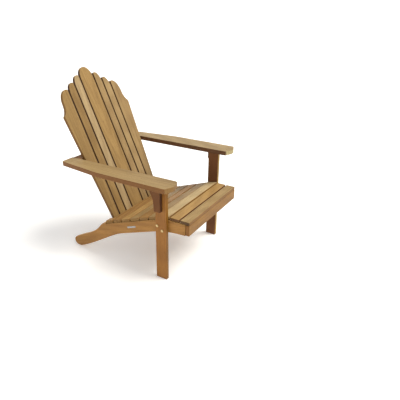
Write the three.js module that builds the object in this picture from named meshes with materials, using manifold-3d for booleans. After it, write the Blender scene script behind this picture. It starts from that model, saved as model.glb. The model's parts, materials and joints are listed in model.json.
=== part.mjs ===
// Adirondack garden chair in teak: two curved side rails that reach back to the ground, two front
// legs, a slatted seat, a fanned and scalloped back of seven boards, and two flat arms.
// Millimetres. +Z up, the sitter faces -Y, X = 0 is the plane of symmetry.
// "right" and "left" are the sitter's: right is -X.
import * as THREE from 'three';
import { mergeVertices } from 'three/addons/utils/BufferGeometryUtils.js';
import Module from 'manifold-3d';

const wasm = await Module();
wasm.setup();

const rad = THREE.MathUtils.degToRad;
const RIGHT = -1;
const LEFT = 1;
const SIDES = [{ name: 'right', side: RIGHT }, { name: 'left', side: LEFT }];

// ---------------------------------------------------------------- driving dimensions
// Before the last line moves the origin, Y = 0 is the front edge of the front legs.

// Joints
const SEAT_GAP = 0.3;            // between pieces that rest on each other in turned groups
const TENON_CLEARANCE = 0.4;     // all round a tenon in its mortise
const BOLT_CLEARANCE = 0.4;      // radial, in the holes of leg and rail
const THREAD_CLEARANCE = 0.1;    // radial, between bolt and nut
const TENON_ROOT = 10;           // a tenon's solid runs this far into its own board
const SAME_POINT = 0.01;         // outline points nearer than this are one
const WELD = 1e-4;               // the same for the corners of a solid

// Front legs
const LEG_SPACING = 525;         // between the legs' inner faces
const LEG_THICKNESS = 21;
const LEG_WIDTH = 64.5;

// Side rails
const RAIL_THICKNESS = 21;
const RAIL_DEPTH = 63;           // square to the seat line
const RAIL_FRONT_DEPTH = 60;     // at the front end
const RAIL_STOP = 7;             // height of the stop behind the last slat
const FOOT_REACH = 252;          // from the stop to the tip of the foot
const FOOT_RADIUS = 28;
const FOOT_FLAT = 18;            // level part that stands on the ground
const FOOT_TURN = rad(63);       // the foot's top leaves its round at this angle
const BEND_STEPS = 8;            // facets of the rail's top along the seat's bend
// The ogee from the stop to the foot: how far behind the stop, and its share of the stop's height
const OGEE = {
  brow: { back: 20.5, share: 0.986 }, neck: { back: 42.5, share: 0.862 },
  hollow: { back: 82, share: 0.6 }, calf: { back: 174, share: 0.412 },
};
// The underside: straight from the knee to the haunch, then a sweep down to the foot
const UNDERSIDE = { knee: 72, haunch: 86, sweep: { back: 70, down: 27 }, arch: { reach: 108, share: 0.211 } };

// Seat
const SEAT_HEIGHT = 359.6;       // top of the level front slats
const SEAT_OVERHANG = 117.3;     // front edge of the seat in front of the legs
const SEAT_BEND_START = 114.5;   // length of the level part
const SEAT_BEND_RADIUS = 180;
const SEAT_SLOPE = rad(19.7);    // fall towards the back, after the bend
const SLAT_THICKNESS = 17;
const SLAT_GAP = 7;
const SLAT_INSET = 4.8;          // slat end inside the rail's outer face
const SEAT_SLAT_WIDTHS = [52.5, 50.5, 61, 63.5, 55, 58.5, 57, 55, 48];
const NOTCH_MARGIN = 3;          // between the last slat's notch and the back slats

// Apron
const APRON_THICKNESS = 21;
const APRON_HEIGHT = 58;
const APRON_INSET = 2.5;         // end inside the rail's outer face

// Back
const BACK_LEAN = rad(24.26);    // from the vertical
const BACK_GAP = 8.5;            // between back slats
const BACK_THICKNESS = 17;
const BACK_CLEARANCE = 21.5;     // seat length in front of the back, on the last slat
const BACK_TAIL = 76;            // slat below the seat's top
const CENTRE_SLAT = { width: 95.6, top: 823.5, drop: 61 };
const INNER_SLATS = [            // from the centre outwards
  { width: 47.7, top: 785, drop: 60, crown: 13.7 },
  { width: 48.3, top: 751.5, drop: 65, crown: 12.5 },
];
const OUTER_SLAT = {
  footWidth: 38.5, shoulderWidth: 91, shoulder: 590, waistWidth: 62, waist: 628,
  top: 722.6, crown: 12, shoulderRadius: 8, shoulderRise: 4.8,
  bulge: 27,                     // pull of the flare's curve, measured out from the foot's width
  lobe: 18,                      // from the waist up to where the lobe's round begins
  neck: { out: 2, down: 12 },    // pull of the curve between shoulder and waist
};
const FLARE_STEPS = 10;          // facets of the outer edge up to the shoulder
const CROWN_CORNER = 7;          // round of the crown's inner corner

// Cross rail behind the slats, below the seat
const LOWER_RAIL_THICKNESS = 20;
const LOWER_RAIL_HEIGHT = 56;

// Arms
const ARM_RISE = 200.9;          // top at the front end, above the seat's top
const ARM_SLOPE = rad(0.75);     // fall towards the back
const ARM_THICKNESS = 24.5;
const ARM_INNER_OVERHANG = 6.5;  // inside the leg's inner face
const ARM_OUTER_OVERHANG = 82.5; // outside the leg's outer face, at the front
const ARM_REAR_OVERHANG = 50;    // the same, at the rear end
const ARM_FRONT_OVERHANG = 52;   // front corners in front of the leg
const ARM_BOW = 14;              // the front edge bows out by this
const ARM_CORNER = 16;
const ARM_REAR_CORNER = 9;
const ARM_TAPER = 265;           // length over which the outer edge draws in at the rear
const ARM_TAPER_EASE = 45;       // half length of the curve where that begins
const ARM_TAIL = 58.5;           // arm behind the back slats, at its top
const LEG_TENON = { width: 40, thickness: 11, height: 11 };

// Cross rail behind the slats, level with the arms
const ARM_RAIL_SETBACK = 5;      // rear edge in front of the arms' rear edge
const RAIL_TENON = { length: 18, height: 9, width: 34 };

// Arm brackets: a board flat on each leg's outer face, whose rear edge sweeps back under the arm
const BRACKET_THICKNESS = 21;
const BRACKET_SETBACK = 21;      // behind the leg's front edge
const BRACKET_HEIGHT = 140;
const BRACKET_REACH = 59;        // width under the arm
const BRACKET_EDGE = 42;         // height of the rear edge, above the sweep
const BRACKET_SWEEP = 100;       // from the top down to the sweep's lower end
const BRACKET_HOLLOW = { width: 42, down: 62 };   // pull of the sweep's curve
const BRACKET_WIDTH = 39;        // at the lower end of the sweep
const BRACKET_FOOT_WIDTH = 37;
const BRACKET_TOE = 5;           // round of the foot's corners

// Leg bolts, from the leg's front edge and the seat's underside
const BOLT_PLACES = [{ back: 53.5, down: 34 }, { back: 24, down: 55.5 }];
const BOLT_RADIUS = 4;
const BOLT_CHAMFER = 0.8;
const BOLT_HEAD = { radius: 7.5, height: 3.6, rim: 0.8 };
const WASHER = { radius: 9, thickness: 1.6 };
const NUT = { flats: 13, height: 6.5 };
const BOLT_END = 2;              // thread beyond the nut
const HOLE_SIDES = 24;           // facets round a bolt hole, and round a washer
const BOLT_SIDES = 20;           // facets round a bolt, and round its nut's thread

// Blank plate on the right rail: its centre from the leg's front edge, and under the rail's top edge
const PLATE = { length: 58, height: 9.5, thickness: 1, corner: 3.5, back: 233.5, down: 29 };

// ---------------------------------------------------------------- materials
const wood = (color) => new THREE.MeshStandardMaterial({ color, roughness: 0.6, metalness: 0 });
const teak = wood(0xb3925f);
const teakPale = wood(0xcdb682);
const teakDark = wood(0x9b7041);
const brass = new THREE.MeshStandardMaterial({ color: 0xb59a5e, roughness: 0.35, metalness: 1 });
const PALE_BOARD = 3;            // the palest board of the seat, and of the back
const steel = new THREE.MeshStandardMaterial({ color: 0xb8babb, roughness: 0.35, metalness: 1 });

// ---------------------------------------------------------------- helpers
const chair = new THREE.Group();

/** Adds a named mesh to a group. */
function add(group, name, geometry, material) {
  const mesh = new THREE.Mesh(geometry, material);
  mesh.name = name;
  group.add(mesh);
  return mesh;
}

/** Extrudes an outline along +Z from zero to a thickness. */
function board(points, thickness) {
  return new THREE.ExtrudeGeometry(new THREE.Shape(points), { depth: thickness, bevelEnabled: false });
}

/** A board whose outline lies in the Y-Z plane and whose thickness runs along +X. */
function sideBoard(points, thickness) {
  const basis = new THREE.Matrix4().makeBasis(
    new THREE.Vector3(0, 1, 0), new THREE.Vector3(0, 0, 1), new THREE.Vector3(1, 0, 0));
  return board(points, thickness).applyMatrix4(basis);
}

/** The same outline on the other side of X = 0, where side is -1. */
function onSide(points, side) {
  return points.map((p) => new THREE.Vector2(side * p.x, p.y));
}

/** X of the inner face of a board between two |x| values, for an extrusion along +X. */
function startX(side, inner, outer) {
  return side > 0 ? inner : -outer;
}

/** A closed three.js geometry as a manifold solid. */
function toSolid(geometry) {
  const bare = geometry.clone();
  bare.deleteAttribute('normal');
  bare.deleteAttribute('uv');
  const merged = mergeVertices(bare, WELD);
  return new wasm.Manifold(new wasm.Mesh({
    numProp: 3,
    vertProperties: new Float32Array(merged.attributes.position.array),
    triVerts: new Uint32Array(merged.index.array),
  }));
}

/** A manifold solid as a three.js geometry. */
function toGeometry(solid) {
  const mesh = solid.getMesh();
  const geometry = new THREE.BufferGeometry();
  geometry.setAttribute('position', new THREE.BufferAttribute(new Float32Array(mesh.vertProperties), 3));
  geometry.setIndex(new THREE.BufferAttribute(new Uint32Array(mesh.triVerts), 1));
  geometry.computeVertexNormals();
  return geometry;
}

/** Cuts the tools out of a body. */
function cut(body, tools) {
  const solid = tools.reduce((rest, tool) => rest.subtract(toSolid(tool)), toSolid(body));
  return toGeometry(solid);
}

/** Joins two overlapping bodies. */
function join(body, other) {
  return toGeometry(toSolid(body).add(toSolid(other)));
}

/** A box from its lowest and highest corners. */
function boxBetween(low, high) {
  const size = new THREE.Vector3().subVectors(high, low);
  const centre = new THREE.Vector3().addVectors(high, low).multiplyScalar(0.5);
  return new THREE.BoxGeometry(size.x, size.y, size.z).translate(centre.x, centre.y, centre.z);
}

// ---------------------------------------------------------------- seat line
const railOuter = LEG_SPACING / 2;
const railInner = railOuter - RAIL_THICKNESS;
const legOuter = railOuter + LEG_THICKNESS;
const slatHalf = railOuter - SLAT_INSET;
const bendLength = SEAT_BEND_RADIUS * SEAT_SLOPE;
const armHeight = SEAT_HEIGHT + ARM_RISE;

/**
 * A point of the seat line: level, then a bend, then a straight fall.
 * @param {number} path distance along the seat's top from its front edge
 * @param {number} below distance under the top, square to it
 * @returns {{y: number, z: number, angle: number}} the place and the fall angle there
 */
function seatPoint(path, below = 0) {
  const bendY = SEAT_BEND_START - SEAT_OVERHANG;
  const angle = THREE.MathUtils.clamp((path - SEAT_BEND_START) / SEAT_BEND_RADIUS, 0, SEAT_SLOPE);
  const level = Math.min(path - SEAT_BEND_START, 0);
  const fall = Math.max(path - SEAT_BEND_START - bendLength, 0);
  const radius = SEAT_BEND_RADIUS - below;
  return {
    y: bendY + level + radius * Math.sin(angle) + fall * Math.cos(angle),
    z: SEAT_HEIGHT - SEAT_BEND_RADIUS + radius * Math.cos(angle) - fall * Math.sin(angle),
    angle,
  };
}

const slatStarts = SEAT_SLAT_WIDTHS.map(
  (_, i) => SEAT_SLAT_WIDTHS.slice(0, i).reduce((sum, width) => sum + width + SLAT_GAP, 0));
const lastSlat = SEAT_SLAT_WIDTHS.length - 1;
const seatLength = slatStarts[lastSlat] + SEAT_SLAT_WIDTHS[lastSlat];
const backPath = slatStarts[lastSlat] + BACK_CLEARANCE;
const backFoot = seatPoint(backPath);      // where the back's front face meets the seat's top

/** Y of the back slats' front face at a height. */
const backFrontY = (z) => backFoot.y + (z - backFoot.z) * Math.tan(BACK_LEAN);
/** Y of the back slats' rear face at a height. */
const backRearY = (z) => backFrontY(z) + BACK_THICKNESS / Math.cos(BACK_LEAN);

// ---------------------------------------------------------------- side rails
/** Outline of a side rail in the Y-Z plane. */
function railOutline() {
  const topBelow = SLAT_THICKNESS + SEAT_GAP;
  const frontY = -SEAT_OVERHANG + APRON_THICKNESS;
  const rear = seatPoint(seatLength + SEAT_GAP, topBelow);
  const stop = seatPoint(seatLength + SEAT_GAP, topBelow - RAIL_STOP);
  const tip = stop.y + FOOT_REACH;
  const footY = tip - FOOT_RADIUS;
  const outline = new THREE.Path();
  // Top: under the slats, from the apron to the stop behind the last slat
  outline.moveTo(frontY, SEAT_HEIGHT - topBelow);
  for (let i = 0; i <= BEND_STEPS; i += 1) {
    const p = seatPoint(SEAT_BEND_START + bendLength * (i / BEND_STEPS), topBelow);
    outline.lineTo(p.y, p.z);
  }
  outline.lineTo(rear.y, rear.z);
  outline.lineTo(stop.y, stop.z);
  // Top: the ogee down to the foot
  const { brow, neck, hollow, calf } = OGEE;
  outline.quadraticCurveTo(
    stop.y + brow.back, stop.z * brow.share, stop.y + neck.back, stop.z * neck.share);
  outline.quadraticCurveTo(
    stop.y + hollow.back, stop.z * hollow.share, stop.y + calf.back, stop.z * calf.share);
  outline.lineTo(footY + FOOT_RADIUS * Math.cos(FOOT_TURN), FOOT_RADIUS + FOOT_RADIUS * Math.sin(FOOT_TURN));
  // Foot
  outline.absarc(footY, FOOT_RADIUS, FOOT_RADIUS, FOOT_TURN, -Math.PI / 2, true);
  outline.lineTo(footY - FOOT_FLAT, 0);
  // Underside: up under the ogee, straight under the seat, and level at the front
  const { sweep, arch } = UNDERSIDE;
  const haunch = seatPoint(seatLength - UNDERSIDE.haunch, SLAT_THICKNESS + RAIL_DEPTH);
  const knee = seatPoint(SEAT_BEND_START + bendLength + UNDERSIDE.knee, SLAT_THICKNESS + RAIL_DEPTH);
  outline.bezierCurveTo(footY - FOOT_FLAT - arch.reach, stop.z * arch.share,
    haunch.y + sweep.back, haunch.z - sweep.down, haunch.y, haunch.z);
  outline.lineTo(knee.y, knee.z);
  const frontZ = SEAT_HEIGHT - topBelow - RAIL_FRONT_DEPTH;
  const cornerY = knee.y - (frontZ - knee.z) / Math.tan(SEAT_SLOPE);
  outline.quadraticCurveTo(cornerY, frontZ, frontY, frontZ);
  return distinct(outline.getPoints(10));
}

/** Drops points that repeat the one before them. */
function distinct(points) {
  return points.filter((p, i) => i === 0 || p.distanceTo(points[i - 1]) > SAME_POINT);
}

/** Centre of a leg bolt in the Y-Z plane. */
function boltCentre({ back, down }) {
  return { y: back, z: SEAT_HEIGHT - SLAT_THICKNESS - down };
}

/** The holes of the leg bolts on one side, through leg and rail. */
function boltHoles(side) {
  const length = 2 * (LEG_THICKNESS + RAIL_THICKNESS);
  return BOLT_PLACES.map((place) => {
    const { y, z } = boltCentre(place);
    const radius = BOLT_RADIUS + BOLT_CLEARANCE;
    return new THREE.CylinderGeometry(radius, radius, length, HOLE_SIDES)
      .rotateZ(Math.PI / 2)
      .translate(side * railOuter, y, z);
  });
}

for (const { name, side } of SIDES) {
  const rail = sideBoard(railOutline(), RAIL_THICKNESS).translate(startX(side, railInner, railOuter), 0, 0);
  add(chair, `side_rail_${name}`, cut(rail, boltHoles(side)), teakDark);
}

// ---------------------------------------------------------------- front legs
/** Height of the arms' underside at a place along Y. */
const armUndersideZ = (y) => armHeight - ARM_THICKNESS / Math.cos(ARM_SLOPE)
  - (y + ARM_FRONT_OVERHANG) * Math.tan(ARM_SLOPE);

for (const { name, side } of SIDES) {
  const outline = [
    new THREE.Vector2(0, 0),
    new THREE.Vector2(LEG_WIDTH, 0),
    new THREE.Vector2(LEG_WIDTH, armUndersideZ(LEG_WIDTH) - SEAT_GAP),
    new THREE.Vector2(0, armUndersideZ(0) - SEAT_GAP),
  ];
  const post = sideBoard(outline, LEG_THICKNESS).translate(startX(side, railOuter, legOuter), 0, 0);
  const centreX = side * (railOuter + LEG_THICKNESS / 2);
  const top = armUndersideZ(LEG_WIDTH / 2);
  const tenon = boxBetween(
    new THREE.Vector3(centreX - LEG_TENON.thickness / 2, (LEG_WIDTH - LEG_TENON.width) / 2, top - TENON_ROOT),
    new THREE.Vector3(centreX + LEG_TENON.thickness / 2, (LEG_WIDTH + LEG_TENON.width) / 2,
      top + LEG_TENON.height));
  add(chair, `front_leg_${name}`, cut(join(post, tenon), boltHoles(side)), teakDark);
}

// ---------------------------------------------------------------- leg bolts, washers and nuts
/** A domed bolt with its head's underside at the origin and its shank along -Y. */
function boltGeometry(length) {
  const { radius, height, rim } = BOLT_HEAD;
  const dome = [0, 0.25, 0.5, 0.75].map((t) => {
    const angle = (t * Math.PI) / 2;
    return new THREE.Vector2(radius * Math.cos(angle), rim + (height - rim) * Math.sin(angle));
  });
  const profile = [
    new THREE.Vector2(0, -length),
    new THREE.Vector2(BOLT_RADIUS - BOLT_CHAMFER, -length),
    new THREE.Vector2(BOLT_RADIUS, -length + BOLT_CHAMFER),
    new THREE.Vector2(BOLT_RADIUS, 0),
    new THREE.Vector2(radius, 0),
    ...dome,
    new THREE.Vector2(0, height),
  ];
  return new THREE.LatheGeometry(profile, BOLT_SIDES);
}

/** A flat ring or hexagon with a round bore, from z = 0 to its thickness. */
function ring(outer, sides, thickness) {
  const corners = Array.from({ length: sides }, (_, i) => new THREE.Vector2(
    outer * Math.cos((2 * Math.PI * i) / sides), outer * Math.sin((2 * Math.PI * i) / sides)));
  const shape = new THREE.Shape(corners);
  const bore = new THREE.Path();
  bore.absarc(0, 0, BOLT_RADIUS + THREAD_CLEARANCE, 0, 2 * Math.PI, true);
  shape.holes.push(bore);
  return new THREE.ExtrudeGeometry(shape, {
    depth: thickness, bevelEnabled: false, curveSegments: BOLT_SIDES,
  });
}

const boltLength = LEG_THICKNESS + RAIL_THICKNESS + WASHER.thickness + NUT.height + BOLT_END + 2 * SEAT_GAP;
for (const { name, side } of SIDES) {
  BOLT_PLACES.forEach((place, i) => {
    const { y, z } = boltCentre(place);
    const label = `${name}_${i + 1}`;
    // Local +Z points out of the leg, so the shank runs inwards
    const axis = new THREE.Group();
    axis.position.set(side * legOuter, y, z);
    axis.rotation.y = (side * Math.PI) / 2;
    chair.add(axis);
    const bolt = add(axis, `leg_bolt_${label}`, boltGeometry(boltLength).rotateX(Math.PI / 2), brass);
    bolt.position.z = SEAT_GAP / 2;
    const innerFace = -(LEG_THICKNESS + RAIL_THICKNESS);
    const washer = add(axis, `leg_washer_${label}`, ring(WASHER.radius, HOLE_SIDES, WASHER.thickness), brass);
    washer.position.z = innerFace - SEAT_GAP / 2 - WASHER.thickness;
    const nut = add(axis, `leg_nut_${label}`, ring(NUT.flats / Math.sqrt(3), 6, NUT.height), brass);
    nut.position.z = washer.position.z - SEAT_GAP / 2 - NUT.height;
  });
}

// ---------------------------------------------------------------- apron
{
  const half = railOuter - APRON_INSET;
  const top = SEAT_HEIGHT - SLAT_THICKNESS - SEAT_GAP;
  const geometry = boxBetween(
    new THREE.Vector3(-half, -SEAT_OVERHANG, top - APRON_HEIGHT),
    new THREE.Vector3(half, -SEAT_OVERHANG + APRON_THICKNESS - SEAT_GAP, top));
  add(chair, 'front_apron', geometry, teak);
}

// ---------------------------------------------------------------- seat slats
/** Outline of the last slat, seen square to its top, with the notch that the back stands in. */
function notchedOutline(width, notchHalf, notchDepth) {
  const front = -width / 2;
  const rear = width / 2;
  return [
    [-slatHalf, front], [slatHalf, front], [slatHalf, rear], [notchHalf, rear],
    [notchHalf, rear - notchDepth], [-notchHalf, rear - notchDepth], [-notchHalf, rear], [-slatHalf, rear],
  ].map(([x, y]) => new THREE.Vector2(x, y));
}

/** Outline of a plain slat. */
function plainOutline(width) {
  return [
    [-slatHalf, -width / 2], [slatHalf, -width / 2], [slatHalf, width / 2], [-slatHalf, width / 2],
  ].map(([x, y]) => new THREE.Vector2(x, y));
}

// ---------------------------------------------------------------- back outline values
const innerEdges = INNER_SLATS.map((_, i) => CENTRE_SLAT.width / 2 + BACK_GAP
  + INNER_SLATS.slice(0, i).reduce((sum, slat) => sum + slat.width + BACK_GAP, 0));
const outerEdge = CENTRE_SLAT.width / 2 + BACK_GAP
  + INNER_SLATS.reduce((sum, slat) => sum + slat.width + BACK_GAP, 0);

/** Half width of the back at a height above the seat, along the slats. */
function backHalfWidth(s) {
  const span = OUTER_SLAT.shoulder + BACK_TAIL;
  const t = (s + BACK_TAIL) / span;
  const control = OUTER_SLAT.footWidth + OUTER_SLAT.bulge;
  return outerEdge + (1 - t) * (1 - t) * OUTER_SLAT.footWidth + 2 * t * (1 - t) * control
    + t * t * OUTER_SLAT.shoulderWidth;
}

SEAT_SLAT_WIDTHS.forEach((width, i) => {
  const place = seatPoint(slatStarts[i] + width / 2, SLAT_THICKNESS);
  const notchDepth = SEAT_SLAT_WIDTHS[lastSlat] - BACK_CLEARANCE + NOTCH_MARGIN;
  const outline = i === lastSlat
    ? notchedOutline(width, backHalfWidth(0) + NOTCH_MARGIN, notchDepth)
    : plainOutline(width);
  const finish = i + 1 === PALE_BOARD ? teakPale : teak;
  const mesh = add(chair, `seat_slat_${i + 1}`, board(outline, SLAT_THICKNESS), finish);
  mesh.position.set(0, place.y, place.z);
  mesh.rotation.x = -place.angle;
});

// ---------------------------------------------------------------- back
// The back's own frame: origin where its front face meets the seat's top, Y up along the slats,
// Z out of the front face.
const back = new THREE.Group();
back.position.set(0, backFoot.y, backFoot.z);
back.rotation.x = Math.PI / 2 - BACK_LEAN;
chair.add(back);

/** Outline of the centre slat: straight sides and a half-elliptical top. */
function centreOutline() {
  const { width, top, drop } = CENTRE_SLAT;
  const outline = new THREE.Path();
  outline.moveTo(-width / 2, -BACK_TAIL);
  outline.lineTo(width / 2, -BACK_TAIL);
  outline.absellipse(0, top - drop, width / 2, drop, 0, Math.PI, false, 0);
  return distinct(outline.getPoints(20));
}

/** Outline of a narrow slat, whose crown is near its inner edge and falls away outwards. */
function innerOutline(start, { width, top, drop, crown }) {
  const outline = new THREE.Path();
  outline.moveTo(start, -BACK_TAIL);
  outline.lineTo(start + width, -BACK_TAIL);
  outline.absellipse(start + crown, top - drop, width - crown, drop, 0, Math.PI / 2, false, 0);
  outline.quadraticCurveTo(start, top, start, top - CROWN_CORNER);
  return distinct(outline.getPoints(12));
}

/** Outline of an outer slat: flared up to a shoulder, with a waist and a rounded lobe above it. */
function outerOutline() {
  const { shoulder, waist, waistWidth, top, crown, shoulderRadius, shoulderRise, lobe, neck } = OUTER_SLAT;
  const lobeStart = waist + lobe;
  const outline = new THREE.Path();
  outline.moveTo(outerEdge, -BACK_TAIL);
  const flareTop = shoulder - shoulderRadius;
  for (let i = 0; i <= FLARE_STEPS; i += 1) {
    const s = -BACK_TAIL + ((flareTop + BACK_TAIL) * i) / FLARE_STEPS;
    outline.lineTo(backHalfWidth(s), s);
  }
  const corner = backHalfWidth(shoulder);
  outline.quadraticCurveTo(corner, shoulder, corner - shoulderRadius, shoulder + shoulderRise);
  outline.quadraticCurveTo(outerEdge + waistWidth + neck.out, waist - neck.down,
    outerEdge + waistWidth, lobeStart);
  outline.absellipse(outerEdge + crown, lobeStart, waistWidth - crown, top - lobeStart, 0, Math.PI / 2,
    false, 0);
  outline.quadraticCurveTo(outerEdge, top, outerEdge, top - CROWN_CORNER);
  return distinct(outline.getPoints(12));
}

const slatOutlines = [
  ...SIDES.map(({ side }) => ({ side, order: 3, points: onSide(outerOutline(), side) })),
  ...SIDES.flatMap(({ side }) => INNER_SLATS.map((slat, i) => (
    { side, order: i + 1, points: onSide(innerOutline(innerEdges[i], slat), side) }))),
  { side: 0, order: 0, points: centreOutline() },
];
for (const { side, order, points } of slatOutlines) {
  const number = 4 + side * order;         // 1 is the sitter's far right, 4 the centre
  const finish = number === PALE_BOARD ? teakPale : teak;
  const mesh = add(back, `back_slat_${number}`, board(points, BACK_THICKNESS), finish);
  mesh.position.z = -BACK_THICKNESS;
}

// ---------------------------------------------------------------- lower back rail
{
  // The last seat slat's underside crosses the rail's front face here
  const tilt = BACK_LEAN - SEAT_SLOPE;
  const front = -BACK_THICKNESS - SEAT_GAP;
  const top = -SLAT_THICKNESS / Math.cos(tilt) - front * Math.tan(tilt) - SEAT_GAP;
  const half = railInner - SEAT_GAP;
  const geometry = boxBetween(
    new THREE.Vector3(-half, top - LOWER_RAIL_HEIGHT, front - LOWER_RAIL_THICKNESS),
    new THREE.Vector3(half, top, front));
  add(back, 'lower_back_rail', geometry, teakDark);
}

// ---------------------------------------------------------------- arms
// The arms' own frame: origin at the top, level with their front corners, Y towards the back.
const arms = new THREE.Group();
arms.position.set(0, -ARM_FRONT_OVERHANG, armHeight);
arms.rotation.x = -ARM_SLOPE;
chair.add(arms);

/** A world Y-Z place in the arms' frame. */
function inArms(y, z) {
  const dy = y + ARM_FRONT_OVERHANG;
  const dz = z - armHeight;
  return {
    y: dy * Math.cos(ARM_SLOPE) - dz * Math.sin(ARM_SLOPE),
    z: dy * Math.sin(ARM_SLOPE) + dz * Math.cos(ARM_SLOPE),
  };
}

/** Y in the arms' frame of the back slats' rear face, at a depth under the arms' top. */
function backRearInArms(depth) {
  const low = inArms(backRearY(0), 0);
  const high = inArms(backRearY(armHeight), armHeight);
  return low.y + ((high.y - low.y) * (-depth - low.z)) / (high.z - low.z);
}

const armInner = railOuter - ARM_INNER_OVERHANG;
const armRearY = backRearInArms(0) + ARM_TAIL;

/** Outline of the left arm, seen from above. */
function armOutline() {
  const front = legOuter + ARM_OUTER_OVERHANG;
  const rear = legOuter + ARM_REAR_OVERHANG;
  const outline = new THREE.Path();
  outline.moveTo(armInner, ARM_CORNER);
  outline.quadraticCurveTo(armInner, 0, armInner + ARM_CORNER, 0);
  outline.quadraticCurveTo((armInner + front) / 2, -2 * ARM_BOW, front - ARM_CORNER, 0);
  outline.quadraticCurveTo(front, 0, front, ARM_CORNER);
  const taperY = armRearY - ARM_TAPER;
  const drawnIn = (front - rear) * (ARM_TAPER_EASE / ARM_TAPER);
  outline.lineTo(front, taperY - ARM_TAPER_EASE);
  outline.quadraticCurveTo(front, taperY, front - drawnIn, taperY + ARM_TAPER_EASE);
  outline.lineTo(rear, armRearY - ARM_REAR_CORNER);
  outline.quadraticCurveTo(rear, armRearY, rear - ARM_REAR_CORNER, armRearY);
  outline.lineTo(armInner, armRearY);
  return distinct(outline.getPoints(12));
}

/** The blind mortise for the leg's tenon, in the arms' frame. */
function legMortise(side) {
  const centreX = side * (railOuter + LEG_THICKNESS / 2);
  const centre = inArms(LEG_WIDTH / 2, armUndersideZ(LEG_WIDTH / 2));
  const halfX = LEG_TENON.thickness / 2 + TENON_CLEARANCE;
  const halfY = LEG_TENON.width / 2 + TENON_CLEARANCE;
  return boxBetween(
    new THREE.Vector3(centreX - halfX, centre.y - halfY, -ARM_THICKNESS - TENON_ROOT),
    new THREE.Vector3(centreX + halfX, centre.y + halfY,
      -ARM_THICKNESS + LEG_TENON.height + TENON_CLEARANCE));
}

const armRailRear = armRearY - ARM_RAIL_SETBACK;
const tenonCentreY = (backRearInArms(ARM_THICKNESS / 2) + armRailRear) / 2;
const tenonCentreZ = -ARM_THICKNESS / 2;

/** The tenon on the end of the arm rail, in the arms' frame, grown by a margin. */
function railTenon(side, from, margin) {
  const ends = [side * from, side * (armInner + RAIL_TENON.length + margin)].sort((a, b) => a - b);
  const halfY = RAIL_TENON.width / 2 + margin;
  const halfZ = RAIL_TENON.height / 2 + margin;
  return boxBetween(
    new THREE.Vector3(ends[0], tenonCentreY - halfY, tenonCentreZ - halfZ),
    new THREE.Vector3(ends[1], tenonCentreY + halfY, tenonCentreZ + halfZ));
}

for (const { name, side } of SIDES) {
  const blank = board(onSide(armOutline(), side), ARM_THICKNESS).translate(0, 0, -ARM_THICKNESS);
  const mortises = [legMortise(side), railTenon(side, armInner - TENON_ROOT, TENON_CLEARANCE)];
  add(arms, `arm_${name}`, cut(blank, mortises), teak);
}

// ---------------------------------------------------------------- arm rail behind the back
{
  const half = armInner - SEAT_GAP;
  const outline = [
    new THREE.Vector2(backRearInArms(0) + SEAT_GAP, 0),
    new THREE.Vector2(armRailRear, 0),
    new THREE.Vector2(armRailRear, -ARM_THICKNESS),
    new THREE.Vector2(backRearInArms(ARM_THICKNESS) + SEAT_GAP, -ARM_THICKNESS),
  ];
  const bar = sideBoard(outline, 2 * half).translate(-half, 0, 0);
  const tenons = SIDES.map(({ side }) => railTenon(side, half - TENON_ROOT, 0));
  add(arms, 'arm_rail', join(join(bar, tenons[0]), tenons[1]), teakDark);
}

// ---------------------------------------------------------------- arm brackets
/** Outline of a bracket in the Y-Z plane: a straight front edge, and a rear edge that sweeps back. */
function bracketOutline() {
  const front = BRACKET_SETBACK;
  const rear = front + BRACKET_REACH;
  const toeRear = front + BRACKET_FOOT_WIDTH;
  const topAt = (y) => armUndersideZ(y) - SEAT_GAP;
  const top = topAt(front);
  const foot = top - BRACKET_HEIGHT;
  const outline = new THREE.Path();
  outline.moveTo(front, top);
  outline.lineTo(front, foot + BRACKET_TOE);
  outline.quadraticCurveTo(front, foot, front + BRACKET_TOE, foot);
  outline.lineTo(toeRear - BRACKET_TOE, foot);
  outline.quadraticCurveTo(toeRear, foot, toeRear, foot + BRACKET_TOE);
  outline.lineTo(front + BRACKET_WIDTH, top - BRACKET_SWEEP);
  outline.quadraticCurveTo(front + BRACKET_HOLLOW.width, top - BRACKET_HOLLOW.down,
    rear, topAt(rear) - BRACKET_EDGE);
  outline.lineTo(rear, topAt(rear));
  return distinct(outline.getPoints(8));
}

for (const { name, side } of SIDES) {
  const inner = legOuter + SEAT_GAP;
  const geometry = sideBoard(bracketOutline(), BRACKET_THICKNESS)
    .translate(startX(side, inner, inner + BRACKET_THICKNESS), 0, 0);
  add(chair, `arm_bracket_${name}`, geometry, teakDark);
}

// ---------------------------------------------------------------- blank plate on the right rail
{
  const below = SLAT_THICKNESS + PLATE.down;
  const bendEnd = seatPoint(SEAT_BEND_START + bendLength, below);
  const path = SEAT_BEND_START + bendLength + (PLATE.back - bendEnd.y) / Math.cos(SEAT_SLOPE);
  const centre = seatPoint(path, below);
  const { length, height, corner } = PLATE;
  const outline = new THREE.Path();
  for (const [x, y, turn] of [[1, -1, -90], [1, 1, 0], [-1, 1, 90], [-1, -1, 180]]) {
    outline.absarc(x * (length / 2 - corner), y * (height / 2 - corner), corner, rad(turn), rad(turn + 90));
  }
  const geometry = sideBoard(distinct(outline.getPoints(6)), PLATE.thickness);
  const plate = add(chair, 'blank_plate', geometry, steel);
  plate.position.set(-railOuter - PLATE.thickness - SEAT_GAP / 2, centre.y, centre.z);
  plate.rotation.x = -SEAT_SLOPE;
}

// ---------------------------------------------------------------- origin: bottom centre of the box
const frontEnd = -SEAT_OVERHANG;
const rearEnd = backFoot.y + CENTRE_SLAT.top * Math.sin(BACK_LEAN) + BACK_THICKNESS * Math.cos(BACK_LEAN);
chair.position.y = -(frontEnd + rearEnd) / 2;

export default chair;
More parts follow.
